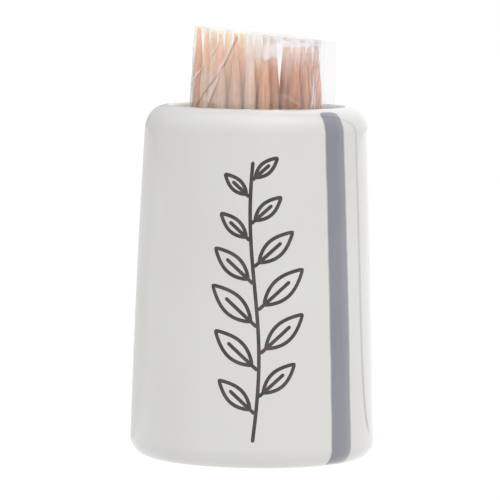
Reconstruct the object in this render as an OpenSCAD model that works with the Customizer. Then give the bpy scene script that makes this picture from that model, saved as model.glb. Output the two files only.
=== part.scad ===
// Glazed toothpick holder with a film bag of round toothpicks standing in it.
// Millimetres. The origin is the centre of the foot on the table and +Z is up.
// The front, which carries the painted decoration, faces -Y.

/* [Holder] */
// Height over the lip
holder_h = 60; // [55:0.5:62]
// Radius that the side aims at on the table
base_r = 21; // [17:0.1:28]
// Radius that the side aims at level with the lip
top_r = 18.9; // [15:0.1:27]
// How far the side swells outwards at half height
belly = 0.25; // [0:0.05:1]
// Wall thickness, the same from floor to lip
wall = 4.7; // [4.4:0.1:6]
// Thickness of the floor, down to the table
floor_t = 4.5; // [3:0.1:6]
// Radius of the rounded edge at the foot
foot_round = 3.2; // [1:0.1:4]
// Width of the lip's outer rounding
lip_w = 3.6; // [2.5:0.1:3.9]
// Height of the lip's outer rounding
lip_h = 4.3; // [2:0.1:6]
// Height of the rounding inside the mouth
mouth_h = 1.8; // [0.8:0.1:3]
// Radius of the corner between cavity wall and floor
cavity_round = 2.4; // [1:0.1:3]
// Depth of the glazed recess inside the foot ring
recess_d = 1.1; // [0.5:0.1:1.8]
// Width of the bare foot ring
foot_ring_w = 3; // [1.5:0.1:5]

/* [Toothpicks] */
// Length of a toothpick
pick_l = 65; // [60:0.5:80]
// Diameter of the shank
pick_d = 2.1; // [1.6:0.05:2.4]
// Diameter of the blunt tips
tip_d = 0.6; // [0.4:0.05:1]
// Length of each taper
taper_l = 9.6; // [6:0.2:16]
// Clear gap between neighbouring shanks
pick_gap = 0.4; // [0.35:0.01:0.5]
// Most toothpicks that a row holds, where the mouth is wide enough
row_most = 9; // [5:1:9]
// Most that a pick stands higher than the even line of the lowest tips
pick_stray = 0.4; // [0:0.05:1]
// Slope of the line of tips, falling to the right
slant = 6; // [3:0.1:10]

/* [Film bag] */
// Thickness of the film, stated thicker than a real one so that it stays a solid
film_t = 0.15; // [0.1:0.01:0.3]
// Play between the picks and the film at the sides
side_play = 0.35; // [0.3:0.01:0.5]
// Play between the picks and the film in front and behind
depth_play = 0.7; // [0.6:0.01:0.9]
// Height of the open edge over the highest place of a tip
mouth_over = 0.2; // [0:0.1:2]
// Slope of the open edge, falling to the right
mouth_slant = 5.5; // [0:0.1:8]
// Width of the flat seam at the right
seam_w = 2; // [0.5:0.1:2.5]
// Thickness of the seams, two films and the weld
seam_t = 0.4; // [0.3:0.05:0.8]
// Clearance between the bag and the holder's floor
seat_gap = 0.3; // [0.2:0.05:0.6]
// Least clearance between the bag and the cavity at the right
mouth_play = 0.3; // [0.2:0.05:1]

/* [Hidden] */
// How many picks fewer than the widest row each row has, from front to back
row_short = [3, 2, 1, 0, 1, 2, 3];
// Sideways shift of each row, as shares of the gap between shanks
row_shift_shares = [0, 0.6, 0, 0, 0, -0.6, 0];
// Share of a gap that a pick may wander from its even place
wander_share = 0.15;
// Angle between one pick's wander and the next one's, in degrees
wander_turn = 137.5;
// Exponent of the bag's section: 2 is an ellipse, more is squarer
bag_power = 3.2;
// Share of the bag's half width that the bottom seam leaves free at the left
hem_inset_share = 0.3;
// Steps in the side, in each rounding and round the bag's section
side_steps = 12;
round_steps = 8;
section_steps = 48;
// Facets of the turned forms
holder_fn = 128;
pick_fn = 24;
// Cuts run this far past what they cut
overrun = 1;

crest_r = top_r - lip_w;
lip_z = holder_h - lip_h;
mouth_z = holder_h - mouth_h;
mouth_r = side_r(mouth_z) - wall;
corner_z = floor_t + cavity_round;
corner_r = side_r(corner_z) - wall;
floor_r = corner_r - cavity_round;

pitch = pick_d + pick_gap;
row_pitch = pitch * sin(60);
// The bag passes the mouth and stands on the flat of the floor, which limits the widest row
bag_reach = min(mouth_r, floor_r) - mouth_play;
row_room = bag_reach - seam_w - side_play - pick_d / 2;
widest_row = min(row_most, 1 + floor(2 * row_room / pitch));
row_last = len(row_short) - 1;
// The bundle parts on a line between two columns
parting_x = pitch * 3 / 2;
bundle_half_w = (widest_row - 1) / 2 * pitch + pick_d / 2;
bundle_half_d = row_last / 2 * row_pitch + pick_d / 2;
bag_a = bundle_half_w + side_play;
bag_b = bundle_half_d + depth_play;
bag_right = bag_a + seam_w;
bag_seat = floor_t + seat_gap;
// A pick stands clear of the film under it by the sideways clearance of its shank
bag_floor_rise = film_t + pick_gap;

// Where each pick stands, row by row, with none on the parting line
places = [
    for (row = [0:row_last])
        let (count = widest_row - row_short[row])
            for (k = [0:count - 1])
                let (x = (k - (count - 1) / 2) * pitch)
                    if (abs(x - parting_x) > pick_d / 2)
                        [x + pick_gap * row_shift_shares[row], (row - row_last / 2) * row_pitch]
];
pick_count = len(places);

function pick_name(n) = str("pick_", n < 10 ? "0" : "", n);

// Points on an ellipse's arc with half axes a and b about c, from angle p to angle q
function arc(c, a, b, p, q) =
    [for (i = [0:round_steps]) let (t = p + (q - p) * i / round_steps) c + [a * cos(t), b * sin(t)]];

// Radius of the outer side at a height: a straight taper with a shallow parabolic swell
function side_r(z) =
    let (s = z / holder_h) base_r + (top_r - base_r) * s + belly * 4 * s * (1 - s);

// Angle by which the side leans inwards at a height
function side_lean(z) = atan((base_r - top_r + belly * 4 * (2 * z / holder_h - 1)) / holder_h);

// The side, or the cavity wall when it is drawn inwards, between two heights and without its ends
function side(z0, z1, inwards) =
    [for (i = [1:side_steps - 1]) let (z = z0 + (z1 - z0) * i / side_steps) [side_r(z) - inwards, z]];

// Height of the bag's slanted underside at a place across the bag
function slope_z(x) = bag_seat + (bag_right - x) * tan(slant);

// Height of the bag's open edge at a place across the bag
function edge_z(x) =
    slope_z(-bag_a) + bag_floor_rise + pick_l + pick_stray + mouth_over - (bag_a + x) * tan(mouth_slant);

// Sideways wander of a pick, and how high it stands over the even line of the lowest tips
function wander(n) = pick_gap * wander_share * [cos(n * wander_turn), sin(n * wander_turn)];
function stray(n) = pick_stray * (1 + sin(n * wander_turn * 2)) / 2;

// Section through the wall, from the axis under the floor round to the axis above it.
// The roundings at foot and lip run on into the side without a kink.
module holder_section() {
    foot_lean = side_lean(foot_round);
    foot_top = foot_round * (1 + sin(foot_lean));
    foot_r = side_r(foot_top) - foot_round * cos(foot_lean);
    recess_r = foot_r - foot_ring_w;
    lip_turn = atan(tan(side_lean(lip_z)) * lip_h / (side_r(lip_z) - crest_r));
    lip_start = lip_z + lip_h * sin(lip_turn);
    lip_reach = (side_r(lip_start) - crest_r) / cos(lip_turn);
    polygon(concat(
        [[0, recess_d], [recess_r - recess_d, recess_d], [recess_r, 0]],
        arc([foot_r, foot_round], foot_round, foot_round, -90, foot_lean),
        side(foot_top, lip_start, 0),
        arc([crest_r, lip_z], lip_reach, lip_h, lip_turn, 90),
        arc([crest_r, mouth_z], crest_r - mouth_r, mouth_h, 90, 180),
        side(mouth_z, corner_z, wall),
        arc([floor_r, corner_z], cavity_round, cavity_round, 0, -90),
        [[0, floor_t]]
    ));
}

module holder_body()
    color("#e4e2de")
        rotate_extrude($fn = holder_fn) holder_section();

// Section of the filled bag, larger by a wall where it is asked for
module bag_section(grow) {
    a = bag_a + grow;
    b = bag_b + grow;
    share = 2 / bag_power;
    polygon([
        for (i = [0:section_steps - 1])
            let (t = 360 * i / section_steps)
                [a * sign(cos(t)) * pow(abs(cos(t)), share), b * sign(sin(t)) * pow(abs(sin(t)), share)]
    ]);
}

// All between the slanted underside and the open edge, each raised by an amount
module between_ends(rise, over) {
    left = -bag_a - overrun;
    right = bag_right + overrun;
    rotate([90, 0, 0])
        linear_extrude(2 * (bag_b + overrun), center = true)
            polygon([
                [left, slope_z(left) + rise],
                [right, slope_z(right) + rise],
                [right, edge_z(right) + over],
                [left, edge_z(left) + over]
            ]);
}

// The upright space inside a section, between the underside and the open edge
module bag_block(grow, rise, over)
    intersection() {
        linear_extrude(edge_z(-bag_a) + over + overrun) bag_section(grow);
        between_ends(rise, over);
    }

// Flat seam up the right side
module side_seam()
    intersection() {
        translate([bag_a, -seam_t / 2, 0])
            cube([seam_w, seam_t, edge_z(-bag_a) + overrun]);
        between_ends(0, 0);
    }

// Flat bottom seam, folded down to the holder's floor, on which the bag stands
module bottom_seam() {
    left = -bag_a * (1 - hem_inset_share);
    rotate([90, 0, 0])
        linear_extrude(seam_t, center = true)
            polygon([
                [left, bag_seat],
                [bag_right, bag_seat],
                [bag_a, slope_z(bag_a) + film_t / 2],
                [left, slope_z(left) + film_t / 2]
            ]);
}

module film_bag()
    color("#dfe6ee", 0.35)
        union() {
            difference() {
                bag_block(film_t, 0, 0);
                bag_block(0, film_t, overrun);
            }
            side_seam();
            bottom_seam();
        }

// One round toothpick, tapered straight to a blunt tip at both ends
module toothpick_form()
    rotate_extrude($fn = pick_fn)
        polygon([
            [0, 0],
            [tip_d / 2, 0],
            [pick_d / 2, taper_l],
            [pick_d / 2, pick_l - taper_l],
            [tip_d / 2, pick_l],
            [0, pick_l]
        ]);

module toothpick(n) {
    place = places[n - 1] + wander(n);
    color("#d3b08d")
        translate([place[0], place[1], slope_z(place[0]) + bag_floor_rise + stray(n)])
            toothpick_form();
}

holder_body();
film_bag();
for (n = [1:pick_count])
    toothpick(n);
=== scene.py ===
"""Dresses a glazed toothpick holder: its glaze and paint, the film bag and the toothpicks in it."""

import math

import bmesh
import bpy
import numpy as np
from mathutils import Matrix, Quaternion, Vector


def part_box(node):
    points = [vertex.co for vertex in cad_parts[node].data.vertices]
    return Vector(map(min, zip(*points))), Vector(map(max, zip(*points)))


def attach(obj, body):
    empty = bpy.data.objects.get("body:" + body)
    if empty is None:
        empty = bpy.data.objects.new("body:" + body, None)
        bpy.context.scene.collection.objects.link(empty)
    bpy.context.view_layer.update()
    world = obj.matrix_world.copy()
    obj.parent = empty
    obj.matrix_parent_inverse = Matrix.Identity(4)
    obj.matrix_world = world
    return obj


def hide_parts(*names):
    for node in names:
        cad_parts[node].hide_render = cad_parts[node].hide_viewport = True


bl_info = {
    "name": "Glazed Toothpick Holder",
    "version": (1, 0, 0),
    "blender": (4, 5, 0),
    "location": "View3D > Sidebar > Toothpicks",
    "description": "Finishes a ceramic toothpick holder with its film bag of toothpicks",
    "category": "Object",
}

MM = 0.001

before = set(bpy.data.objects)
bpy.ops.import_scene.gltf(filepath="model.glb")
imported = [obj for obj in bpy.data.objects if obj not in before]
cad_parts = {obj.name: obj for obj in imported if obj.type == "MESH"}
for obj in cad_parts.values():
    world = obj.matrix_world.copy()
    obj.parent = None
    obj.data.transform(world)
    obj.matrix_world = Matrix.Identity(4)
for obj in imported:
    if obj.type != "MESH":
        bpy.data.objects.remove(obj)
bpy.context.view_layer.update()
holder_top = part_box("holder_body")[1].z
bag_low, bag_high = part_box("film_bag")
pick_boxes = {name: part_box(name) for name in sorted(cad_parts) if name.startswith("pick_")}
pick_places = [((low.x + high.x) / 2, (low.y + high.y) / 2) for low, high in pick_boxes.values()]


# Values that a user would change
def number(name, description, default, **limits):
    """A setting for a number."""
    return bpy.props.FloatProperty(name=name, description=description, default=default, **limits)


def length(name, description, default):
    """A setting for a length."""
    return number(name, description, default, unit="LENGTH")


def angle(name, description, degrees):
    """A setting for an angle, whose default is given in degrees."""
    return number(name, description, math.radians(degrees), unit="ROTATION")


def count(name, description, default, least, most):
    """A setting for a whole number."""
    return bpy.props.IntProperty(name=name, description=description, default=default, min=least, max=most)


def colour(name, description, default):
    """A setting for a colour."""
    return bpy.props.FloatVectorProperty(
        name=name, description=description, default=default, size=3, subtype="COLOR", min=0, max=1
    )


class HolderSettings(bpy.types.PropertyGroup):
    height: length("Height", "Height over the lip", holder_top)
    base_radius: length("Base Radius", "Radius that the side aims at on the table", 21 * MM)
    top_radius: length("Top Radius", "Radius that the side aims at level with the lip", 18.9 * MM)
    belly: length("Belly", "How far the side swells at half height", 0.25 * MM)
    wall: length("Wall", "Thickness of the wall", 4.7 * MM)
    floor: length("Floor", "Height of the cavity's floor over the table", 4.5 * MM)
    foot_round: length("Foot Rounding", "Radius of the rounded edge at the foot", 3.2 * MM)
    lip_width: length("Lip Width", "Width of the lip's outer rounding", 3.6 * MM)
    lip_height: length("Lip Height", "Height of the lip's outer rounding", 4.3 * MM)
    mouth_height: length("Mouth Height", "Height of the rounding inside the mouth", 1.8 * MM)
    cavity_round: length("Cavity Rounding", "Radius of the corner between wall and floor", 2.4 * MM)
    recess: length("Recess", "Depth of the recess inside the foot ring", 1.1 * MM)
    ring_width: length("Ring Width", "Width of the bare foot ring", 3 * MM)
    segments: count("Segments", "Steps round the holder", 288, 32, 512)
    glaze: colour("Glaze", "Colour of the glaze", (0.608, 0.603, 0.586))
    biscuit: colour("Biscuit", "Colour of the bare foot ring", (0.62, 0.56, 0.48))
    stripe: colour("Stripe", "Colour of the painted stripe", (0.183, 0.186, 0.221))
    stripe_half_width: length("Stripe Half Width", "Half the width of the stripe", 2.2 * MM)


class SprigSettings(bpy.types.PropertyGroup):
    low: length("Low End", "Height of the stem's lower end", 4.6 * MM)
    high: length("High End", "Height of the stem's upper end", 51.5 * MM)
    line_width: length("Line Width", "Width of the painted lines", 0.62 * MM)
    leaf_length: length("Leaf Length", "Length of the largest leaves", 10.5 * MM)
    leaf_pairs: count("Leaf Pairs", "Pairs of leaves along the stem", 6, 1, 20)
    leaf_angle: angle("Leaf Angle", "Angle of the leaves from the stem", 48)
    ink: colour("Ink", "Colour of the painted lines", (0.030, 0.023, 0.021))


class FilmSettings(bpy.types.PropertyGroup):
    clearance: length("Clearance", "Gap between the film and the picks' shanks", 0.3 * MM)
    drawn_in: length("Drawn In", "How far the film draws in over the picks' tips", 0.6 * MM)
    crumple: length("Crumple", "Depth of the film's buckles", 0.2 * MM)
    bottom_slope: angle("Bottom Slope", "Slope of the underside, falling to the right", 6)
    edge_slope: angle("Edge Slope", "Slope of the open edge, falling to the right", 5.5)
    lap_edge: length("Lap Edge", "Where the lap over the left half ends, across the bag", -0.6 * MM)
    lap_weld: length("Lap Weld", "Width of the whitish weld along the lap", 1.3 * MM)
    # Milk also colours the film's painted highlights, and the tint below colours its painted shade
    milk: colour("Milk", "Colour of rubbed and doubled film", (0.94, 0.945, 0.975))
    painted_shade_tint: colour("Painted Shade Tint", "What a sharp fold lets through", (0.5, 0.4, 0.36))


class PickSettings(bpy.types.PropertyGroup):
    shank: length("Shank", "Diameter of the shank", 2.1 * MM)
    tip: length("Tip", "Diameter of the blunt tips", 0.6 * MM)
    taper: length("Taper", "Length of each taper", 9.6 * MM)
    segments: count("Segments", "Steps round a toothpick", 20, 6, 64)
    wood: colour("Wood", "Colour of the wood", (0.98, 0.688, 0.49))
    dark_wood: colour("Dark Wood", "Colour of the wood's darker grain", (0.54, 0.285, 0.185))


class StageSettings(bpy.types.PropertyGroup):
    distance: length("Distance", "From the camera to the middle of the holder", 0.714)
    elevation: angle("Elevation", "Height of the camera over the horizon", 4.85)
    roll: angle("Roll", "Turn of the camera about its own line of sight", 0.79)
    lens: number("Lens", "Focal length in millimetres", 300.3)
    level: number("Level", "Brightness of the surrounding light", 0.864, min=0, max=4)
    softbox: number("Softbox", "Extra brightness of the softbox overhead", 1.2, min=0, max=8)
    overhead: number("Overhead", "Power of the large soft lamp overhead, in watts", 0.5, min=0, max=8)
    front: number("Front Fill", "Power of the small soft lamp in front, in watts", 0.36, min=0, max=8)


SETTINGS = {
    "holder": HolderSettings,
    "sprig": SprigSettings,
    "film": FilmSettings,
    "picks": PickSettings,
    "studio": StageSettings,
}


def settings(name):
    """The scene's settings of one group."""
    return getattr(bpy.context.scene, "toothpick_" + name)


# Short ways to build node trees
class Graph:
    """A node tree with short calls for nodes and for sums on sockets."""

    def __init__(self, tree):
        self.tree = tree

    def add(self, kind, inputs=None, **values):
        """A new node with its values set and its inputs set or linked."""
        n = self.tree.nodes.new(kind)
        for key, value in values.items():
            setattr(n, key, value)
        for key, value in (inputs or {}).items():
            self.feed(n.inputs[key], value)
        return n

    def feed(self, socket, value):
        """Links a socket into an input, or sets it to a plain value."""
        if isinstance(value, bpy.types.NodeSocket):
            self.tree.links.new(value, socket)
        else:
            socket.default_value = value

    def math(self, operation, *values, clamp=False):
        """A Math node's result."""
        inputs = dict(enumerate(values))
        return self.add("ShaderNodeMath", inputs, operation=operation, use_clamp=clamp).outputs[0]

    def plus(self, a, b, clamp=False):
        """The sum of two numbers."""
        return self.math("ADD", a, b, clamp=clamp)

    def minus(self, a, b):
        """One number less another."""
        return self.math("SUBTRACT", a, b)

    def times(self, a, b, clamp=False):
        """The product of two numbers."""
        return self.math("MULTIPLY", a, b, clamp=clamp)

    def scaled(self, value, factor, offset, clamp=False):
        """A number times a factor, and an offset."""
        return self.math("MULTIPLY_ADD", value, factor, offset, clamp=clamp)

    def swing(self, noise, width):
        """A noise value as a swing of this width about nothing."""
        return self.scaled(noise, width, -width / 2)

    def vector(self, operation, *values):
        """A Vector Math node's result."""
        n = self.add("ShaderNodeVectorMath", dict(enumerate(values)), operation=operation)
        return n.outputs["Value" if operation == "LENGTH" else "Vector"]

    def changed(self, kind, geometry, **inputs):
        """What a node makes of a geometry."""
        return self.add(kind, {"Geometry": geometry, **inputs}).outputs[0]

    def joined(self, x, y, z):
        """A vector from three numbers."""
        return self.add("ShaderNodeCombineXYZ", {"X": x, "Y": y, "Z": z}).outputs[0]

    def parts(self, vector):
        """The three numbers of a vector."""
        return self.add("ShaderNodeSeparateXYZ", {"Vector": vector}).outputs

    def span(self, value, low, high, to_low=0.0, to_high=1.0, smooth=True):
        """Maps a range of numbers to another one, clamped."""
        inputs = {"Value": value, "From Min": low, "From Max": high, "To Min": to_low, "To Max": to_high}
        kind = "SMOOTHSTEP" if smooth else "LINEAR"
        return self.add("ShaderNodeMapRange", inputs, interpolation_type=kind).outputs["Result"]

    def away(self, x, y):
        """Distance from the upright axis."""
        return self.math("SQRT", self.plus(self.times(x, x), self.times(y, y)))

    def turn(self, x, y):
        """Angle round the upright axis, from the front towards the right."""
        return self.math("ARCTAN2", x, self.times(y, -1.0))

    def noise(self, vector, scale, detail=2.0, roughness=0.5):
        """A noise pattern's value."""
        inputs = {"Vector": vector, "Scale": scale, "Detail": detail, "Roughness": roughness}
        return self.add("ShaderNodeTexNoise", inputs).outputs["Fac"]

    def stretched(self, place, *factors):
        """A place scaled along each axis."""
        return self.vector("MULTIPLY", place, factors)

    def attribute(self, name):
        """A number that the mesh carries."""
        return self.add("ShaderNodeAttribute", attribute_name=name).outputs["Fac"]

    def blend(self, share, a, b):
        """A mix of two colours."""
        return self.add("ShaderNodeMix", {0: share, 6: a, 7: b}, data_type="RGBA").outputs[2]

    def between(self, share, a, b):
        """A mix of two numbers."""
        return self.add("ShaderNodeMix", {0: share, 2: a, 3: b}, data_type="FLOAT").outputs[0]

    def layered(self, share, a, b):
        """A mix of two shaders."""
        return self.add("ShaderNodeMixShader", {0: share, 1: a.outputs[0], 2: b.outputs[0]})

    def bumped(self, height, strength, distance):
        """A surface direction tilted by small heights."""
        inputs = {"Height": height, "Strength": strength, "Distance": distance}
        return self.add("ShaderNodeBump", inputs).outputs["Normal"]

    def principled(self, tint, roughness, more):
        """A Principled shader, with more of its inputs by name."""
        return self.add("ShaderNodeBsdfPrincipled", {"Base Color": tint, "Roughness": roughness, **more})

    def show(self, shader, kind="ShaderNodeOutputMaterial"):
        """An output that shows a shader."""
        self.add(kind, {"Surface": shader.outputs[0]})


def rgba(tint, factor=1.0):
    """A colour property, lighter or darker by a factor, with full alpha."""
    return (*(min(1, c * factor) for c in tint), 1.0)


def new_material(name):
    """An empty material, as (material, graph, Object coordinates)."""
    mat = bpy.data.materials.new(name)
    mat.use_nodes = True
    mat.node_tree.nodes.clear()
    graph = Graph(mat.node_tree)
    return mat, graph, graph.add("ShaderNodeTexCoord").outputs["Object"]


# The holder's form
def side_radius(h, z):
    """Radius of the outer side at a height."""
    s = z / h.height
    return h.base_radius + (h.top_radius - h.base_radius) * s + h.belly * 4 * s * (1 - s)


def side_lean(h, z):
    """Angle by which the side leans inwards at a height."""
    return math.atan((h.base_radius - h.top_radius + h.belly * 4 * (2 * z / h.height - 1)) / h.height)


def side_line(h, low, high, inwards, steps=48):
    """The side, or the cavity wall when it is drawn inwards, between two heights and without its ends."""
    z = np.linspace(low, high, steps + 1)[1:-1]
    return np.stack([side_radius(h, z) - inwards, z], 1)


def arc(centre, a, b, start, end, steps):
    """Points on an ellipse's arc in the plane of the section."""
    t = np.radians(np.linspace(start, end, steps + 1))
    return np.stack([centre[0] + a * np.cos(t), centre[1] + b * np.sin(t)], 1)


def holder_profile(h):
    """The holder's section, from the axis under the floor round to the axis above it."""
    lip_z = h.height - h.lip_height
    mouth_z = h.height - h.mouth_height
    corner_z = h.floor + h.cavity_round
    crest_r = h.top_radius - h.lip_width
    mouth_r = side_radius(h, mouth_z) - h.wall
    corner_r = side_radius(h, corner_z) - h.wall
    foot_lean = side_lean(h, h.foot_round)
    foot_top = h.foot_round * (1 + math.sin(foot_lean))
    foot_r = side_radius(h, foot_top) - h.foot_round * math.cos(foot_lean)
    lip_turn = math.atan(math.tan(side_lean(h, lip_z)) * h.lip_height / (side_radius(h, lip_z) - crest_r))
    lip_start = lip_z + h.lip_height * math.sin(lip_turn)
    lip_reach = (side_radius(h, lip_start) - crest_r) / math.cos(lip_turn)
    recess_r = foot_r - h.ring_width
    soft = h.recess / 2
    flat = np.linspace(0, 1, 10)[:, None]
    under = np.array([[0, h.recess]]) + flat * [recess_r - h.recess - soft, 0]
    inner = np.array([[corner_r - h.cavity_round, h.floor]]) - flat * [corner_r - h.cavity_round, 0]
    return np.concatenate(
        [
            under,
            arc((recess_r - h.recess - soft, h.recess - soft), soft, soft, 90, 20, 6),
            arc((recess_r + soft, soft * 0.8), soft, soft * 0.8, 180, 270, 6),
            arc((foot_r, h.foot_round), h.foot_round, h.foot_round, -90, math.degrees(foot_lean), 24),
            side_line(h, foot_top, lip_start, 0),
            arc((crest_r, lip_z), lip_reach, h.lip_height, math.degrees(lip_turn), 90, 28),
            arc((crest_r, mouth_z), crest_r - mouth_r, h.mouth_height, 90, 180, 16)[1:],
            side_line(h, mouth_z, corner_z, h.wall),
            arc((corner_r - h.cavity_round, corner_z), h.cavity_round, h.cavity_round, 0, -90, 12),
            inner[1:],
        ]
    )


# Geometry Nodes trees and what they make
def new_object(name, data):
    """An object in the scene."""
    obj = bpy.data.objects.new(name, data)
    bpy.context.scene.collection.objects.link(obj)
    return obj


def line_object(name, points):
    """A curve object through flat points (across, up), for a tree to read."""
    curve = bpy.data.curves.new(name, "CURVE")
    curve.dimensions = "3D"
    spline = curve.splines.new("POLY")
    spline.points.add(len(points) - 1)
    for p, (x, y) in zip(spline.points, points):
        p.co = (x, y, 0, 1)
    return new_object(name, curve)


def new_tree(name, sockets):
    """A Geometry Nodes tree with named inputs and one geometry output, as (graph, inputs)."""
    tree = bpy.data.node_groups.new(name, "GeometryNodeTree")
    for label, kind in sockets.items():
        tree.interface.new_socket(label, in_out="INPUT", socket_type="NodeSocket" + kind)
    tree.interface.new_socket("Geometry", in_out="OUTPUT", socket_type="NodeSocketGeometry")
    graph = Graph(tree)
    return graph, graph.add("NodeGroupInput").outputs


def drawn_line(g, source):
    """The curve of an object that is given to a tree."""
    info = g.add("GeometryNodeObjectInfo", {"Object": source}, transform_space="ORIGINAL")
    return info.outputs["Geometry"]


def finished_tree(g, geometry, finish):
    """Ends a tree: what it made becomes real and gets its material."""
    real = g.changed("GeometryNodeRealizeInstances", geometry)
    done = g.changed("GeometryNodeSetMaterial", real, Material=finish)
    g.add("NodeGroupOutput", {"Geometry": done})
    return g.tree


def turned_tree():
    """A tree that turns a section, drawn as (radius, height), about the upright axis."""
    name = "turned_form"
    if name in bpy.data.node_groups:
        return bpy.data.node_groups[name]
    sockets = {"Section": "Object", "Segments": "Int", "Place": "Vector", "Finish": "Material"}
    g, inputs = new_tree(name, sockets)
    lathe = 10 * MM
    path = g.add("GeometryNodeCurvePrimitiveCircle", {"Resolution": inputs["Segments"], "Radius": lathe})
    section = drawn_line(g, inputs["Section"])
    upright = g.changed("GeometryNodeTransform", section, Translation=(-lathe, 0, 0), Scale=(1, -1, 1))
    skin = g.add("GeometryNodeCurveToMesh", {"Curve": path.outputs["Curve"], "Profile Curve": upright})
    merged = g.changed("GeometryNodeMergeByDistance", skin.outputs["Mesh"], Distance=4e-6)
    moved = g.changed("GeometryNodeTransform", merged, Translation=inputs["Place"])
    return finished_tree(g, moved, inputs["Finish"])


def grown(name, tree, values):
    """A closed plain mesh object made by a tree with these inputs, its faces outwards and smooth."""
    obj = new_object(name, bpy.data.meshes.new(name))
    modifier = obj.modifiers.new("Nodes", "NODES")
    modifier.node_group = tree
    for item in tree.interface.items_tree:
        if item.item_type == "SOCKET" and item.in_out == "INPUT":
            modifier[item.identifier] = values[item.name]
    evaluated = obj.evaluated_get(bpy.context.evaluated_depsgraph_get())
    mesh = bpy.data.meshes.new_from_object(evaluated)
    obj.modifiers.clear()
    obj.data = mesh
    mesh.name = name
    work = bmesh.new()
    work.from_mesh(mesh)
    bmesh.ops.remove_doubles(work, verts=work.verts, dist=1e-6)
    bmesh.ops.recalc_face_normals(work, faces=work.faces)
    for face in work.faces:
        face.smooth = True
    work.to_mesh(mesh)
    work.free()
    mesh.update()
    return obj


def finish_piece(obj, body, mat):
    """Puts a finished piece on its body with its material and the record's slot."""
    if not obj.data.materials:
        obj.data.materials.append(mat)
    for i in range(len(obj.data.materials)):
        obj.data.materials[i] = mat
    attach(obj, body)


# Finishes
def stripe_shares(h, g, place):
    """Where the brushed stripe lies, and how well it covers the glaze there."""
    x, y, z = g.parts(place)
    away = g.away(x, y)
    straight = g.scaled(g.math("DIVIDE", z, h.height), h.top_radius - h.base_radius, h.base_radius)
    inset = g.math("MAXIMUM", g.minus(straight, away), 0.0)

    # Place along the stripe, carried on over the lip and under the foot
    sign = g.scaled(g.math("GREATER_THAN", z, h.height / 2), 2.0, -1.0)
    ragged = g.swing(g.noise(place, 520.0, 3.0, 0.6), 1.5 * MM)
    along = g.plus(g.scaled(inset, sign, z), ragged)

    # Place across it: the stripe leans a little, and its sides waver
    turn_low, turn_high = math.radians(46.25), math.radians(43.4)
    middle = g.span(z, 0.0, h.height * 0.9, turn_low, turn_high, smooth=False)
    wobble = g.swing(g.noise(place, 190.0, 3.0), 0.28 * MM)
    across = g.scaled(g.minus(g.turn(x, y), middle), h.base_radius * 0.95, wobble)

    # Inside an oblong with round corners, on the outer side only
    low, high = -1.9 * MM, h.height + 1.25 * MM
    corner = 0.8 * MM
    from_side = g.minus(g.math("ABSOLUTE", across), h.stripe_half_width - corner)
    from_middle = g.math("ABSOLUTE", g.minus(along, (low + high) / 2))
    from_end = g.minus(from_middle, (high - low) / 2 - corner)
    past = g.joined(g.math("MAXIMUM", from_side, 0.0), g.math("MAXIMUM", from_end, 0.0), 0.0)
    outside = g.minus(g.vector("LENGTH", past), corner)
    outer_side = g.math("GREATER_THAN", away, h.top_radius - h.lip_width)
    painted = g.times(g.span(outside, 0.3 * MM, -0.22 * MM), outer_side)
    return g.times(painted, g.span(across, 0.0, h.stripe_half_width, 0.98, 0.88))


def ceramic_material(h):
    """Off-white glaze with a brushed grey-blue stripe and a bare foot ring."""
    mat, g, place = new_material("glazed_body")

    # Pigment gathers unevenly along the brush's path
    streak = g.swing(g.noise(g.stretched(place, 1.0, 1.0, 0.12), 900.0, 3.0, 0.6), 0.4)
    cloud = g.swing(g.noise(place, 70.0, 2.0), 0.5)
    paint = g.blend(g.plus(0.5, g.plus(streak, cloud)), rgba(h.stripe, 0.8), rgba(h.stripe, 1.2))

    # The glaze is a little warmer where it lies thick, and holds a few faint specks
    mottled = g.noise(place, 55.0, 3.0, 0.55)
    warm = [c * factor for c, factor in zip(h.glaze, (0.985, 0.978, 0.965))]
    glaze = g.blend(g.span(mottled, 0.35, 0.65), rgba(h.glaze), rgba(warm))
    speck = g.add("ShaderNodeTexVoronoi", {"Vector": place, "Scale": 260.0}, feature="F1")
    rare = g.math("GREATER_THAN", g.parts(speck.outputs["Color"])[0], 0.965)
    dot = g.times(g.span(speck.outputs["Distance"], 0.16, 0.06), rare)
    glaze = g.blend(g.times(dot, 0.3), glaze, rgba(h.glaze, 0.45))
    dressed = g.blend(stripe_shares(h, g, place), glaze, paint)

    # The foot ring is wiped clean of glaze
    edge = g.scaled(g.noise(place, 240.0, 2.0), 0.3 * MM, 0.12 * MM)
    bare = g.span(g.minus(g.parts(place)[2], edge), 0.05 * MM, -0.05 * MM)
    rough = g.scaled(bare, 0.7, g.scaled(mottled, 0.04, 0.075))
    grit = g.times(g.noise(place, 2600.0, 2.0), bare)
    height = g.plus(g.times(g.noise(place, 26.0, 1.0), 1.6), g.times(grit, 0.4))
    normal = g.bumped(height, 0.35, 0.08 * MM)
    coat = {"Normal": normal, "IOR": 1.5, "Coat Weight": 0.8, "Coat Roughness": 0.03}
    g.show(g.principled(g.blend(bare, dressed, rgba(h.biscuit)), rough, coat))
    return mat


def ink_material(s):
    """Dark painted line under the glaze, a little thinner in places."""
    mat, g, place = new_material("painted_line")
    thin = g.span(g.noise(place, 420.0, 3.0, 0.6), 0.35, 0.75)
    coat = {"Coat Weight": 0.3, "Coat Roughness": 0.04}
    g.show(g.principled(g.blend(thin, rgba(s.ink), rgba(s.ink, 2.1)), 0.12, coat))
    return mat


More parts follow.
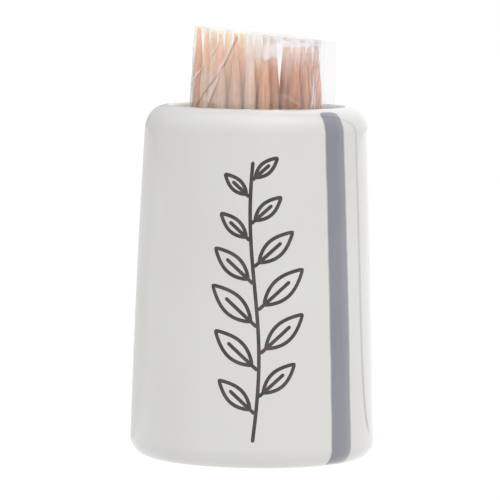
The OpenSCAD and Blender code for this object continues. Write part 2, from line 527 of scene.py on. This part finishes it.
def wood_material(p):
    """Bare polished wood with fine straight grain and its own tone on each pick, made paler as painted
    light on picks seen through gaps.
    """
    mat, g, place = new_material("pick_wood")
    tone = g.attribute("tone")
    shifted = g.vector("ADD", place, g.joined(g.times(tone, 0.7), tone, tone))
    grain = g.noise(g.stretched(shifted, 1.0, 1.0, 0.035), 2600.0, 4.0, 0.62)
    fibre = g.noise(g.stretched(shifted, 1.0, 1.0, 0.02), 7000.0, 2.0, 0.5)
    band = g.noise(g.stretched(shifted, 0.4, 0.4, 1.0), 90.0, 2.0)
    lines = g.span(g.scaled(fibre, 0.4, g.times(grain, 0.6)), 0.38, 0.66)
    deep = g.scaled(lines, 0.4, g.minus(tone, 0.4))
    deep = g.plus(deep, g.swing(band, 0.24), clamp=True)
    height = g.plus(grain, g.times(fibre, 0.5))
    soft = {
        "Normal": g.bumped(height, 0.45, 0.03 * MM),
        "Specular IOR Level": 0.35,
        "Subsurface Weight": 1.0,
        "Subsurface Radius": (1.0, 0.5, 0.3),
        "Subsurface Scale": 2.2 * MM,
    }
    rough = g.scaled(grain, 0.2, 0.42)
    g.show(g.principled(g.blend(deep, rgba(p.wood), rgba(p.dark_wood)), rough, soft))
    return mat


def film_material(f):
    """Clear crisp film: glossy, milky where it is doubled and where highlights are painted, and darkened
    by painted shade along sharp folds and in hollows.
    """
    mat, g, place = new_material("clear_film")
    milk_and_highlight, folded = g.attribute("milk_and_highlight"), g.attribute("folded")
    glancing = g.add("ShaderNodeLayerWeight", {"Blend": 0.5}).outputs["Facing"]
    rub = g.noise(g.stretched(place, 1.0, 1.0, 0.4), 620.0, 4.0, 0.6)
    mirror = g.principled((0.93, 0.95, 0.98, 1.0), g.scaled(rub, 0.12, 0.05), {"Metallic": 1.0})
    # Painted shade: where the mesh carries it, the film lets through only a darker tint and shines less
    seen = g.blend(folded, (0.985, 0.99, 1.0, 1.0), rgba(f.painted_shade_tint))
    clear = g.add("ShaderNodeBsdfTransparent", {"Color": seen})
    milk = g.principled(rgba(f.milk), 0.25, {"Metallic": 0.75})
    shine = g.scaled(g.math("POWER", glancing, 4.0), 0.9, 0.06, clamp=True)
    skin = g.layered(g.times(shine, g.scaled(folded, -0.8, 1.0)), clear, mirror)
    # Milk covers the film where the mesh carries milk or a painted highlight
    whole = g.layered(g.times(milk_and_highlight, g.scaled(rub, 0.5, 0.75), clamp=True), skin, milk)

    # Light passes to the picks behind as through plain clear film
    through = g.add("ShaderNodeBsdfTransparent", {"Color": (0.97, 0.975, 0.98, 1.0)})
    shadow = g.add("ShaderNodeLightPath").outputs["Is Shadow Ray"]
    g.show(g.layered(shadow, whole, through))
    return mat


# How far the painted lines stand proud
LINE_RELIEF = 0.04 * MM


class MakeHolder(bpy.types.Operator):
    """Turn the glazed holder"""

    bl_idname = "toothpick.holder"
    bl_label = "Glazed Holder"

    def execute(self, context):
        h = settings("holder")
        section = line_object("holder_section", holder_profile(h))
        mat = ceramic_material(h)
        values = {"Section": section, "Segments": h.segments, "Place": (0, 0, 0), "Finish": mat}
        obj = grown("holder_shell", turned_tree(), values)
        bpy.data.objects.remove(section)
        finish_piece(obj, "holder", mat)
        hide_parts("holder_body")
        return {"FINISHED"}


def wrapped(g, inputs, place, reach):
    """A flat drawing (across, up, out) laid on the holder's side."""
    across, up, out_by = g.parts(place)
    s = g.math("DIVIDE", up, inputs["Height"])
    taper = g.times(g.minus(inputs["Top Radius"], inputs["Base Radius"]), s)
    swell = g.times(g.times(s, g.minus(1.0, s)), g.times(inputs["Belly"], 4.0))
    radius = g.plus(g.plus(inputs["Base Radius"], taper), swell)
    away = g.plus(radius, g.math("DIVIDE", g.times(out_by, inputs["Line Relief"]), reach))
    turn = g.math("DIVIDE", across, radius)
    back = g.times(away, g.math("COSINE", turn))
    return g.joined(g.times(away, g.math("SINE", turn)), g.times(back, -1.0), up)


def sprig_tree():
    """A tree that sets leaves along a stem, thickens the lines and lays them on the holder's side."""
    sizes = ("Leaf Angle", "Line Width", "Line Relief", "Base Radius", "Top Radius", "Belly", "Height")
    sockets = {"Stem": "Object", "Leaf": "Object", "Leaf Pairs": "Int"}
    sockets.update({size: "Float" for size in sizes})
    g, inputs = new_tree("painted_sprig", {**sockets, "Finish": "Material"})
    stem = drawn_line(g, inputs["Stem"])
    leaf = drawn_line(g, inputs["Leaf"])
    joined = g.add("GeometryNodeJoinGeometry", {0: stem})
    for side, start, end in ((1.0, 0.16, 0.93), (-1.0, 0.1, 0.87)):
        stretch = g.add("GeometryNodeTrimCurve", {"Curve": stem, 2: start, 3: end}, mode="FACTOR")
        spread = {"Curve": stretch.outputs[0], "Count": inputs["Leaf Pairs"]}
        points = g.add("GeometryNodeResampleCurve", spread, mode="COUNT")
        share = g.add("GeometryNodeSplineParameter").outputs["Factor"]
        shrink = g.times(g.span(share, 0.35, 1.0, 1.0, 0.55), g.span(share, 0.0, 0.3, 0.8, 1.0))
        stance = {
            "Points": points.outputs[0],
            "Instance": leaf,
            "Rotation": g.joined(0.0, 0.0, g.times(inputs["Leaf Angle"], -side)),
            "Scale": g.joined(g.times(shrink, side), shrink, 1.0),
        }
        g.feed(joined.inputs[0], g.add("GeometryNodeInstanceOnPoints", stance).outputs[0])
    lines = g.changed("GeometryNodeRealizeInstances", joined.outputs[0])
    fine = g.add("GeometryNodeResampleCurve", {"Curve": lines, "Length": 0.22 * MM}, mode="LENGTH")

    # Round ends: the radius follows a quarter circle near each end of a line
    along = g.add("GeometryNodeSplineParameter").outputs["Length"]
    whole = g.add("GeometryNodeSplineLength").outputs["Length"]
    reach = g.times(inputs["Line Width"], 0.5)
    near = g.math("MINIMUM", along, g.minus(whole, along))
    share = g.minus(1.0, g.math("DIVIDE", near, reach, clamp=True))
    round_end = g.math("SQRT", g.minus(1.0, g.times(share, share)))
    thick = g.times(g.math("MAXIMUM", round_end, 0.08), reach)
    pen = g.add("GeometryNodeCurvePrimitiveCircle", {"Resolution": 10, "Radius": 1.0})
    drawn = {"Curve": fine.outputs[0], "Profile Curve": pen.outputs[0], "Scale": thick, "Fill Caps": True}
    tube = g.add("GeometryNodeCurveToMesh", drawn)
    position = wrapped(g, inputs, g.add("GeometryNodeInputPosition").outputs[0], reach)
    laid = g.changed("GeometryNodeSetPosition", tube.outputs[0], Position=position)
    return finished_tree(g, laid, inputs["Finish"])


def leaf_outline(size):
    """An almond leaf on a short stalk, drawn as one line from the stem and back down its rib."""
    stalk = 0.16
    t = np.linspace(0, 1, 25)
    body = stalk + (1 - stalk) * t
    half = 0.185 * np.sin(np.pi * t) ** 0.85 * (1 - 0.25 * t)
    right = np.stack([half, body], 1)
    left = np.stack([-half, body], 1)[::-1]
    rib = np.stack([0 * t[:17], stalk + (1 - stalk) * t[:17]], 1)
    return np.concatenate([[[0, 0.02]], right, left[1:], rib[1:]]) * size


class MakeSprig(bpy.types.Operator):
    """Paint a sprig of leaves up the front"""

    bl_idname = "toothpick.sprig"
    bl_label = "Painted Sprig"

    def execute(self, context):
        h, s = settings("holder"), settings("sprig")
        t = np.linspace(0, 1, 40)
        bow = 0.9 * MM * np.sin(2 * np.pi * t * 0.9)
        stem = line_object("sprig_stem", np.stack([bow, s.low + (s.high - s.low) * t], 1))
        leaf = line_object("sprig_leaf", leaf_outline(s.leaf_length))
        mat = ink_material(s)
        values = {
            "Stem": stem,
            "Leaf": leaf,
            "Leaf Pairs": s.leaf_pairs,
            "Leaf Angle": s.leaf_angle,
            "Line Width": s.line_width,
            "Line Relief": LINE_RELIEF,
            "Base Radius": h.base_radius,
            "Top Radius": h.top_radius,
            "Belly": h.belly,
            "Height": h.height,
            "Finish": mat,
        }
        obj = grown("painted_sprig", sprig_tree(), values)
        bpy.data.objects.remove(stem)
        bpy.data.objects.remove(leaf)
        finish_piece(obj, "holder", mat)
        return {"FINISHED"}


# The toothpicks
def pick_profile(p, total):
    """A toothpick's section from one rounded tip to the other."""
    tip, shank, taper = p.tip / 2, p.shank / 2, p.taper
    nose = tip * 0.7
    start = arc((0, nose), tip, nose, -90, 0, 4)
    run = np.linspace(0, 1, 9)[1:, None]
    cone = np.hstack([tip + (shank - tip) * run, nose + (taper - nose) * run])
    lower = np.concatenate([start, cone])
    middle = np.stack([np.full(9, shank), np.linspace(taper, total - taper, 11)[1:-1]], 1)
    upper = lower[::-1] * [1, -1] + [0, total]
    return np.concatenate([lower, middle, upper])


# How much darker the front picks are than the middle tone, by place across in mm
TONE_PLACES = (-11, -8.7, -6.5, -4.9, -3.6, -1.6, -0.4, 0.8, 6.5, 9, 11)
TONE_SHIFTS = (0.3, -0.05, 0.05, -0.05, 0.35, -0.1, 0.0, 0.3, 0.5, 0.35, 0.2)


def pick_tone_with_gap_light(x, y, random):
    """A pick's tone from pale 0 to dark 1: picks right behind others are made paler, painted light that
    brightens the shaded gaps between the picks in front.
    """
    # Painted light: a pick with picks in front of it on both sides is made paler, to lighten the shade in
    # the gap between them
    before = [a - x for a, b in pick_places if b < y - 1 * MM and abs(a - x) < 1.8 * MM]
    inner = bool(before) and min(before) < -0.5 * MM and max(before) > 0.5 * MM
    shift = -0.55 if inner else float(np.interp(x / MM, TONE_PLACES, TONE_SHIFTS))
    return min(max(0.56 + 0.24 * (random - 0.5) + shift, 0), 1)


class MakePicks(bpy.types.Operator):
    """Turn the toothpicks"""

    bl_idname = "toothpick.picks"
    bl_label = "Toothpicks"

    def execute(self, context):
        p = settings("picks")
        mat = wood_material(p)
        rng = np.random.default_rng(57)
        low, high = next(iter(pick_boxes.values()))
        section = line_object("pick_section", pick_profile(p, high.z - low.z))
        for (name, box), (x, y) in zip(pick_boxes.items(), pick_places):
            values = {"Section": section, "Segments": p.segments, "Place": (x, y, box[0].z), "Finish": mat}
            obj = grown(name + "_wood", turned_tree(), values)
            # Each pick's tone, paler as painted light where the pick is seen only through a gap
            tone = obj.data.attributes.new("tone", "FLOAT", "POINT")
            shade = pick_tone_with_gap_light(x, y, rng.random())
            tone.data.foreach_set("value", np.full(len(obj.data.vertices), shade))
            finish_piece(obj, name, mat)
            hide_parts(name)
        bpy.data.objects.remove(section)
        return {"FINISHED"}


# The film bag's front lies before this depth, and its lap begins at this place across
FRONT_DEPTH = -4.5 * MM
LAP_START = -10.6 * MM

# It draws in over this height, and its levels lie closer from this far below the lip
TIP_ZONE = 11 * MM
BELOW_LIP = 2.5 * MM


class FilmMesh:
    """Points and faces of the film, with its milk and painted highlights and its painted shade and tint at
    each point.
    """

    def __init__(self):
        self.parts = []
        self.faces = []
        self.size = 0

    def add_points(self, points, milk_and_highlight, folded):
        """Adds points and returns their numbers, laid out as the points are."""
        shape = points.shape[:-1]
        looks = [np.broadcast_to(value, shape).ravel() for value in (milk_and_highlight, folded)]
        self.parts.append((points.reshape(-1, 3), *looks))
        numbers = np.arange(self.size, self.size + math.prod(shape))
        self.size += math.prod(shape)
        return numbers.reshape(shape)

    def add_faces(self, *corners):
        """Adds faces between equal sets of points, one set for each corner."""
        self.faces += np.stack(corners, -1).reshape(-1, len(corners)).tolist()

    def add_strip(self, points, milk_and_highlight, folded):
        """Adds an open strip of film, rows of points from one end to the other."""
        grid = self.add_points(points, milk_and_highlight, folded)
        self.add_faces(grid[:-1, :-1], grid[:-1, 1:], grid[1:, 1:], grid[1:, :-1])

    def made(self, name):
        """The film as an object with smooth faces."""
        mesh = bpy.data.meshes.new(name)
        mesh.from_pydata(np.vstack([part[0] for part in self.parts]).tolist(), [], self.faces)
        mesh.polygons.foreach_set("use_smooth", np.ones(len(mesh.polygons), bool))
        for k, label in ((1, "milk_and_highlight"), (2, "folded")):
            values = np.concatenate([part[k] for part in self.parts])
            mesh.attributes.new(label, "FLOAT", "POINT").data.foreach_set("value", values)
        return new_object(name, mesh)


def hull(points):
    """Corners of the smallest convex outline round flat points, anticlockwise."""
    points = sorted(map(tuple, points))
    ring = []
    for run in (points, points[::-1]):
        half = []
        for p in run:
            while len(half) > 1:
                before, after = np.subtract(half[-1], half[-2]), np.subtract(p, half[-1])
                if np.cross(before, after) > 0:
                    break
                half.pop()
            half.append(p)
        ring += half[:-1]
    return np.array(ring)


def film_outline(f, fine=0.105 * MM, coarse=0.34 * MM):
    """The film's section round the bundle, finer in front: points, directions, shares and girth."""
    shank = settings("picks").shank / 2 + f.clearance
    turns = np.radians(np.arange(0, 360, 7.5))
    circle = np.stack([np.cos(turns), np.sin(turns)], 1) * shank
    ring = hull(np.concatenate([np.array(place) + circle for place in pick_places]))
    start = int(np.argmax(ring[:, 0] - 0.2 * np.abs(ring[:, 1])))
    ring = np.roll(ring, -start, axis=0)
    loop = np.vstack([ring, ring[:1]])
    run = np.concatenate([[0], np.cumsum(np.linalg.norm(np.diff(loop, axis=0), axis=1))])
    at = np.linspace(0, run[-1], 4000)
    step = np.where(np.interp(at, run, loop[:, 1]) < FRONT_DEPTH, fine, coarse)
    steps = np.concatenate([[0], np.cumsum(np.diff(at) / step[1:])])
    at = np.interp(np.linspace(0, steps[-1], int(steps[-1]) + 1)[:-1], steps, at)
    even = np.stack([np.interp(at, run, loop[:, 0]), np.interp(at, run, loop[:, 1])], 1)
    for _ in range(8):
        even = (np.roll(even, 1, 0) + 2 * even + np.roll(even, -1, 0)) / 4
    along = np.roll(even, -1, 0) - np.roll(even, 1, 0)
    out = np.stack([along[:, 1], -along[:, 0]], 1)
    return even, out / np.linalg.norm(out, axis=1)[:, None], at / run[-1], run[-1]


def value_noise(rng, x, y, period):
    """Smooth noise that wraps round in x after a whole number of cells."""
    rows = int(np.ceil(y.max())) + 3
    grid = rng.random((rows, period))
    i, j = np.floor(y).astype(int), np.floor(x).astype(int)
    u, v = x - j, y - i
    u, v = u * u * (3 - 2 * u), v * v * (3 - 2 * v)
    a, b = grid[i, j % period], grid[i, (j + 1) % period]
    c, d = grid[i + 1, j % period], grid[i + 1, (j + 1) % period]
    return (a * (1 - u) + b * u) * (1 - v) + (c * (1 - u) + d * u) * v


# How far the folds drawn with painted highlights and painted shade stand proud of the film
STROKE_RELIEF = 0.04 * MM

# Folds in the film's front, drawn as painted highlights and painted shade: half width, milk as painted
# highlight, tint as painted shade, then places across and up, in mm
STROKES = (
    (0.16, 0.0, 0.75, (-3.6, 71.7), (-5.35, 67.6), (-7.8, 63.6), (-10.4, 59.6)),
    (0.22, 0.5, 0.0, (-4.1, 71.5), (-5.75, 67.7), (-6.35, 66.2)),
    (0.12, 0.0, 0.85, (-6.0, 66.9), (-6.65, 64.2), (-7.3, 61.8), (-8.2, 59.2)),
    (0.4, 0.4, 0.0, (-6.2, 66.3), (-7.05, 63.9), (-7.85, 61.8), (-8.7, 59.6)),
    (0.13, 0.45, 0.0, (-7.3, 70.0), (-8.35, 68.5)),
    (0.09, 0.0, 0.5, (-7.0, 69.8), (-8.05, 68.3)),
    (0.12, 0.5, 0.0, (-9.0, 67.2), (-10.0, 65.7)),
    (0.13, 0.8, 0.0, (-10.0, 65.7), (-11.0, 64.3)),
    (0.09, 0.0, 0.6, (-8.9, 66.9), (-9.9, 65.3), (-10.9, 63.9)),
    (0.17, 0.75, 0.0, (-10.75, 64.1), (-10.95, 62.6), (-11.1, 60.6)),
    (0.14, 0.0, 1.0, (-11.2, 64.9), (-11.38, 63.2), (-11.5, 61.4)),
    (0.13, 0.75, 0.0, (10.5, 70.1), (10.0, 67.1), (9.5, 62.7), (9.0, 59.6)),
    (0.12, 0.7, 0.0, (10.8, 69.4), (10.37, 66.6), (9.9, 62.7), (9.42, 59.6)),
    (0.07, 0.0, 0.8, (10.65, 69.2), (10.19, 66.7), (9.7, 62.7), (9.21, 59.6)),
    (0.5, 0.25, 0.0, (10.3, 66.6), (9.75, 62.7), (9.25, 59.6)),
    (0.35, 0.2, 0.0, (7.8, 69.9), (10.3, 69.8)),
    (0.28, 0.22, 0.0, (7.8, 68.6), (10.2, 68.75)),
)


def stroke_distance(x, z, points):
    """Distance of each place from a line through points."""
    best = np.full(x.shape, np.inf)
    for (ax, az), (bx, bz) in zip(points, points[1:]):
        dx, dz = bx - ax, bz - az
        t = np.clip(((x - ax) * dx + (z - az) * dz) / (dx * dx + dz * dz), 0, 1)
        best = np.minimum(best, np.hypot(x - ax - t * dx, z - az - t * dz))
    return best


def smooth(value, low, high):
    """A soft step from 0 at one value to 1 at another."""
    t = np.clip((value - low) / (high - low), 0, 1)
    return t * t * (3 - 2 * t)


def front_marks(x, z, top):
    """Milk with painted highlights, painted shade as tint, and relief on the front of the film."""
    x, z, top = x / MM, z / MM, top / MM
    milk, tint, relief = np.zeros(x.shape), np.zeros(x.shape), np.zeros(x.shape)
    for half, white, dark, *points in STROKES:
        line = np.exp(-((stroke_distance(x, z, points) / half) ** 2))
        milk = np.maximum(milk, white * line)
        tint = np.maximum(tint, dark * line)
        relief = np.maximum(relief, STROKE_RELIEF * np.sqrt(line))

    # Right of the lap: its doubled edge, then a painted highlight patch, and a pale band along the open
    # edge that is a painted reflection
    down = top - z
    edging = smooth(x, -0.9, -0.5) * smooth(x, 0.75, 0.2) * smooth(down, 7, 2)
    fringe = smooth(x, -0.9, -0.3) * smooth(down, 7.5, 0.8)
    low = 67.8 + 0.3 * np.sin(3.1 * x) + 0.12 * np.sin(9 * x)
    painted_highlight_patch = smooth(x, 0.5, 1.1) * smooth(x, 3.8, 3.0) * smooth(z - low, 0, 0.8) * smooth(z, 71.6, 70.3)
    pale_band = smooth(x, 3.6, 4.1) * smooth(z, 70.1, 70.3) * smooth(down, 0.3, 0.75)
    haze = smooth(x, 3.9, 4.4) * smooth(x, 6.6, 5.2) * smooth(down, 10, 3)

    # The rim over the tips and the turn of the film at the left, each with painted shade and a painted
    # highlight where the film is seen edge-on, and painted shade in a hollow low on the right
    rim = smooth(x, 0.4, 1) * smooth(down, 1.5, 0.9)
    side = smooth(x, -10.75, -11.2)
    hollow = smooth(x, 4.7, 5.5) * smooth(x, 9.3, 7.2) * smooth(z, 66.6, 64)
    milk_and_painted_highlights = [0.62 * edging, 0.5 * fringe, 0.78 * painted_highlight_patch, 0.86 * pale_band, 0.3 * haze, 0.4 * rim, 0.15 * side]
    painted_shades = [0.3 * rim, 0.22 * hollow, 0.75 * side * smooth(z, 70.5, 67)]
    return np.maximum.reduce([milk, *milk_and_painted_highlights]), np.maximum.reduce([tint, *painted_shades]), relief


def bottom_at(f, x):
    """Height of the film's slanted underside at a place across the bag."""
    return bag_low.z + 0.12 * MM + (bag_high.x - x) * math.tan(f.bottom_slope)


def edge_at(f, x):
    """Height of the film's open edge at a place across the bag."""
    return bag_high.z - 0.1 * MM - (x - bag_low.x) * math.tan(f.edge_slope)


def film_levels(f, ring):
    """Heights of the film's points, level by level and closer where they show, and of the open edge."""
    bottom, top = bottom_at(f, ring[:, 0]), edge_at(f, ring[:, 0])
    shown = holder_top - BELOW_LIP
    hidden_part = np.linspace(0, 1, 56)[:-1, None]
    open_part = np.linspace(0, 1, 106)[:, None]
    z = np.vstack([bottom + (shown - bottom) * hidden_part, shown + (top - shown) * open_part])
    return z, np.broadcast_to(top, z.shape)


def film_buckles(f, share, girth, z):
    """Lift and milk of buckles that lean across the film, with a sharp ridge along each: a faint even
    haze, and painted highlights along the ridges.
    """
    rng = np.random.default_rng(11)
    cells = 14
    skew = z / girth * 0.55
    first = value_noise(rng, (share + skew) * cells, z / (11 * MM), cells)
    second = value_noise(rng, (share - skew * 1.4) * cells * 2, z / (5 * MM), cells * 2)
    ridge = 1 - np.abs(2 * first - 1)
    fine = 1 - np.abs(2 * second - 1)
    # A faint even haze, with painted highlights along the sharpest ridges
    milk = 0.04 + np.clip((ridge - 0.95) / 0.05, 0, 1) * 0.2 + np.clip((fine - 0.96) / 0.04, 0, 1) * 0.1
    return f.crumple * (ridge**2.2 + 0.4 * fine**2), milk


def add_wrap(film, f, on_lap, z, edge, ring, out, share, girth):
    """Adds the film round the bundle and returns its places across and in depth."""
    x, y = (np.broadcast_to(ring[:, k], z.shape) for k in (0, 1))
    lift, milk = film_buckles(f, share, girth, z)
    white, dark, relief = front_marks(x, z, edge)
    drawn = f.drawn_in * np.clip((z - (edge - TIP_ZONE)) / TIP_ZONE, 0, 1)
    lift = lift + np.where(y < 0, relief, 0) - drawn
    bare_front = (y < 0) & ~on_lap
    # On the bare front, the painted highlights and painted shade of the front marks
    milk = np.where(bare_front, np.maximum(milk, white), milk)
    # A painted highlight along the open edge
    milk = np.maximum(milk, 0.3 * smooth(edge - z, 0.25 * MM, 0.05 * MM))
    places = ring[None] + out[None] * lift[..., None]
    numbers = film.add_points(np.dstack([places, z]), milk, np.where(bare_front, dark, 0))
    beside = np.roll(numbers, -1, 1)
    film.add_faces(numbers[:-1], beside[:-1], beside[1:], numbers[1:])
    return places


def add_underside(film, f, centre, outline):
    """Closes the slanted underside with rings, from the film's lowest level, the first points, inwards."""
    last = np.arange(len(outline))
    rings = 12
    for k in range(1, rings):
        flat = centre + (outline - centre) * (1 - k / rings)
        new = film.add_points(np.column_stack([flat, bottom_at(f, flat[:, 0])]), 0.04, 0.0)
        film.add_faces(new, np.roll(new, -1), np.roll(last, -1), last)
        last = new
    middle = film.add_points(np.array([[*centre, bottom_at(f, centre[0])]]), 0.04, 0.0)
    film.add_faces(np.roll(last, -1), np.broadcast_to(middle, last.shape), last)


def add_lap(film, f, places, out, x, z, edge):
    """Adds the lap over the left half of the front, with its whitish weld."""
    white, dark, _ = front_marks(x, z, edge)
    pale_band = smooth(x, f.lap_edge - f.lap_weld - 0.25 * MM, f.lap_edge - f.lap_weld)
    height = np.clip((z - holder_top) / (edge - holder_top), 0, 1)
    # Painted light on the lap: a reflection of the white lip low down, and a highlight low at its left end
    painted_lip_reflection = 0.05 * smooth(z, holder_top + 4 * MM, holder_top + 0.5 * MM)
    painted_side_highlight = 0.28 * smooth(x, -8.6 * MM, -9.8 * MM) * smooth(z, 66 * MM, 63.5 * MM)
    milk = np.maximum(0.07 + painted_lip_reflection + painted_side_highlight + pale_band * (0.03 + 0.52 * height**1.4), white)
    proud = 0.06 * MM + 0.1 * MM * smooth(x, LAP_START, -6 * MM)
    film.add_strip(np.dstack([places + out[None] * proud[..., None], z - 0.05 * MM]), milk, dark)


def add_side_seam(film, f, start, z):
    """Adds the flat seam up the right side, from a line of the film's points outwards."""
    share = np.linspace(0, 1, 8)
    x = start[:, :1] + (bag_high.x - 0.05 * MM - start[:, :1]) * share
    waves = ((0.16 * MM, 5.5 * MM), (0.07 * MM, 1.9 * MM))
    wave = sum(depth * np.sin(z / long)[:, None] * share for depth, long in waves)
    y = start[:, 1:] * (1 - share) + wave
    drop = (x - start[:, :1]) * math.tan(f.edge_slope)
    sunk = z[:, None] - drop * ((z - z[0]) / (z[-1] - z[0]))[:, None]
    lines = ((0.12, 0.08, 0.25), (1, 0.06, 0.2))
    milk = 0.08 + sum(white * np.exp(-(((share - at) / half) ** 2)) for at, half, white in lines)
    film.add_strip(np.dstack([x, y, sunk]), milk, 0.08)


def add_bottom_seam(film, f):
    """Adds the flat seam under the bag, on which it stands."""
    x = np.linspace(-8 * MM, bag_high.x - 0.3 * MM, 60)
    down = np.linspace(0, 1, 6)
    top = bottom_at(f, x) + 0.02 * MM
    z = top[:, None] + (bag_low.z + 0.02 * MM - top)[:, None] * down
    y = 0.12 * MM * np.sin(x / (3 * MM))[:, None] * down
    film.add_strip(np.dstack([np.broadcast_to(x[:, None], z.shape), y, z]), 0.3, 0.0)


class MakeFilm(bpy.types.Operator):
    """Wrap the film bag round the toothpicks"""

    bl_idname = "toothpick.film"
    bl_label = "Film Bag"

    def execute(self, context):
        f = settings("film")
        ring, out, share, girth = film_outline(f)
        z, edge = film_levels(f, ring)
        across, depth = ring.T
        on_lap = (depth < FRONT_DEPTH) & (across > LAP_START) & (across < f.lap_edge)
        film = FilmMesh()
        places = add_wrap(film, f, on_lap, z, edge, ring, out, share, girth)
        add_underside(film, f, ring.mean(0), places[0])
        lap_z = z[:, on_lap]
        lap_x = np.broadcast_to(across[on_lap], lap_z.shape)
        add_lap(film, f, places[:, on_lap], out[on_lap], lap_x, lap_z, edge[:, on_lap])
        add_side_seam(film, f, places[:, 0], z[:, 0])
        add_bottom_seam(film, f)
        obj = film.made("film_sleeve")
        finish_piece(obj, "bag", film_material(f))
        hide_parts("film_bag")
        return {"FINISHED"}


# The studio
def aim_camera(s):
    """The camera, set as the reference view needs."""
    cam = new_object("camera", bpy.data.cameras.new("camera"))
    cam.data.lens = s.lens
    cam.data.sensor_width = 36.0
    cam.data.clip_start, cam.data.clip_end = 0.01, 10.0
    centre = Vector((0, 0, holder_top / 2))
    back = Vector((0, -math.cos(s.elevation), math.sin(s.elevation)))
    up = Vector((0, math.sin(s.elevation), math.cos(s.elevation)))
    cam.location = centre + back * s.distance
    aim_right, aim_up = -0.86 * MM, 5.21 * MM
    aim = centre + Vector((1, 0, 0)) * aim_right + up * aim_up
    turn = (aim - cam.location).to_track_quat("-Z", "Y")
    cam.rotation_mode = "QUATERNION"
    cam.rotation_quaternion = turn @ Quaternion((0, 0, 1), s.roll)
    bpy.context.scene.camera = cam


def light_tent(g, x, y):
    """Brightness of the tent by its side: greyer at the left back, with a seam at the right back."""
    turn = g.turn(x, y)

    def change(low, high, from_value, to_value):
        """A soft change of brightness between two sides, given in degrees from the front."""
        return g.span(turn, math.radians(low), math.radians(high), from_value, to_value)

    side = change(-100, 100, 0.915, 0.99)
    left_back = change(-130, -112, 0.2, 0.0)
    right_back = g.plus(change(124.6, 129, 0.0, 0.05), change(130, 165, 0.0, 0.14))
    seam = g.times(change(120.2, 122.0, 0.0, 1.0), change(123.8, 125.6, 1.0, 0.0))
    seam = g.times(seam, g.span(g.away(x, y), 0.045, 0.08, 0.0, 0.9))
    tent = g.minus(g.plus(side, right_back), left_back)
    return g.times(tent, g.minus(1.0, seam))


def studio_world(s):
    """White to the camera, and a soft light tent with a wide softbox overhead to everything else."""
    world = bpy.data.worlds.new("studio")
    world.use_nodes = True
    world.node_tree.nodes.clear()
    g = Graph(world.node_tree)
    x, y, z = g.parts(g.add("ShaderNodeTexCoord").outputs["Generated"])
    lifted = g.times(light_tent(g, x, y), g.span(z, -0.1, 0.9, 0.97, 1.22))
    softbox = g.times(g.span(z, 0.42, 0.9), g.span(y, 0.35, -0.35))
    softbox = g.times(softbox, g.span(x, -0.75, 0.35, 0.15, 1.0))
    lit = g.times(g.scaled(softbox, s.softbox, lifted), s.level)
    seen = g.add("ShaderNodeLightPath").outputs["Is Camera Ray"]
    strength = g.between(seen, lit, 1.0)
    back = g.add("ShaderNodeBackground", {"Color": (1, 1, 1, 1), "Strength": strength})
    g.show(back, "ShaderNodeOutputWorld")
    bpy.context.scene.world = world


def floor_material():
    """White sweep that keeps a faint shadow of the object and carries the tent's tones outwards."""
    mat, g, place = new_material("white_sweep")
    path = g.add("ShaderNodeLightPath").outputs
    seen = g.math("MAXIMUM", path["Is Camera Ray"], path["Is Transmission Ray"])
    x, y, z = g.parts(place)
    shown = g.between(seen, g.times(light_tent(g, x, y), 0.9), 0.97)
    tone = g.times(shown, g.scaled(g.noise(place, 900.0, 2.0), 0.02, 0.98))
    grey = g.joined(tone, tone, tone)
    matt = g.add("ShaderNodeBsdfDiffuse", {"Color": grey})
    low_light = g.add("ShaderNodeEmission", {"Color": grey, "Strength": 1.21})
    glow = g.add("ShaderNodeEmission", {"Color": (1, 1, 1, 1), "Strength": 1.0})
    lit = g.layered(0.85, matt, low_light)
    g.show(g.layered(g.times(seen, 0.8), lit, glow))
    return mat


class MakeStage(bpy.types.Operator):
    """Set the floor, the light and the camera"""

    bl_idname = "toothpick.stage"
    bl_label = "Studio"

    def execute(self, context):
        s = settings("studio")
        aim_camera(s)
        studio_world(s)
        half, drop = 3.0, 0.05 * MM
        corners = [(x * half, y * half, -drop) for x, y in ((-1, -1), (1, -1), (1, 1), (-1, 1))]
        mesh = bpy.data.meshes.new("floor")
        mesh.from_pydata(corners, [], [(0, 1, 2, 3)])
        mesh.materials.append(floor_material())
        new_object("floor", mesh)
        lit_spot = Vector((0, 0, 0.03))
        for name, place, size, power in (
            ("overhead", (0.12, -0.18, 0.75), (0.5, 0.4), s.overhead),
            ("front", (0.0, -0.72, 0.12), (0.12, 0.12), s.front),
        ):
            data = bpy.data.lights.new(name, "AREA")
            data.shape = "RECTANGLE"
            data.size, data.size_y = size
            data.energy = power
            lamp = new_object(name, data)
            lamp.location = place
            lamp.visible_glossy = False
            lamp.rotation_mode = "QUATERNION"
            lamp.rotation_quaternion = (lit_spot - lamp.location).to_track_quat("-Z", "Y")
        context.scene.view_settings.view_transform = "Standard"
        return {"FINISHED"}


class ToothpickPanel(bpy.types.Panel):
    """Lists the settings and the steps"""

    bl_idname = "VIEW3D_PT_toothpick"
    bl_label = "Toothpick Holder"
    bl_space_type = "VIEW_3D"
    bl_region_type = "UI"
    bl_category = "Toothpicks"

    def draw(self, context):
        for name, group in SETTINGS.items():
            box = self.layout.box()
            box.label(text=name.capitalize())
            for key in group.__annotations__:
                box.prop(settings(name), key)
        for maker in MAKERS:
            self.layout.operator(maker.bl_idname)


MAKERS = (MakeStage, MakeHolder, MakeSprig, MakePicks, MakeFilm)
CLASSES = (*SETTINGS.values(), *MAKERS, ToothpickPanel)


def register():
    for cls in CLASSES:
        bpy.utils.register_class(cls)
    for name, group in SETTINGS.items():
        setattr(bpy.types.Scene, "toothpick_" + name, bpy.props.PointerProperty(type=group))


def unregister():
    for name in SETTINGS:
        delattr(bpy.types.Scene, "toothpick_" + name)
    for cls in reversed(CLASSES):
        bpy.utils.unregister_class(cls)


def main():
    register()
    bpy.ops.toothpick.stage()
    bpy.ops.toothpick.holder()
    bpy.ops.toothpick.sprig()
    bpy.ops.toothpick.picks()
    bpy.ops.toothpick.film()


if __name__ == "__main__":
    main()
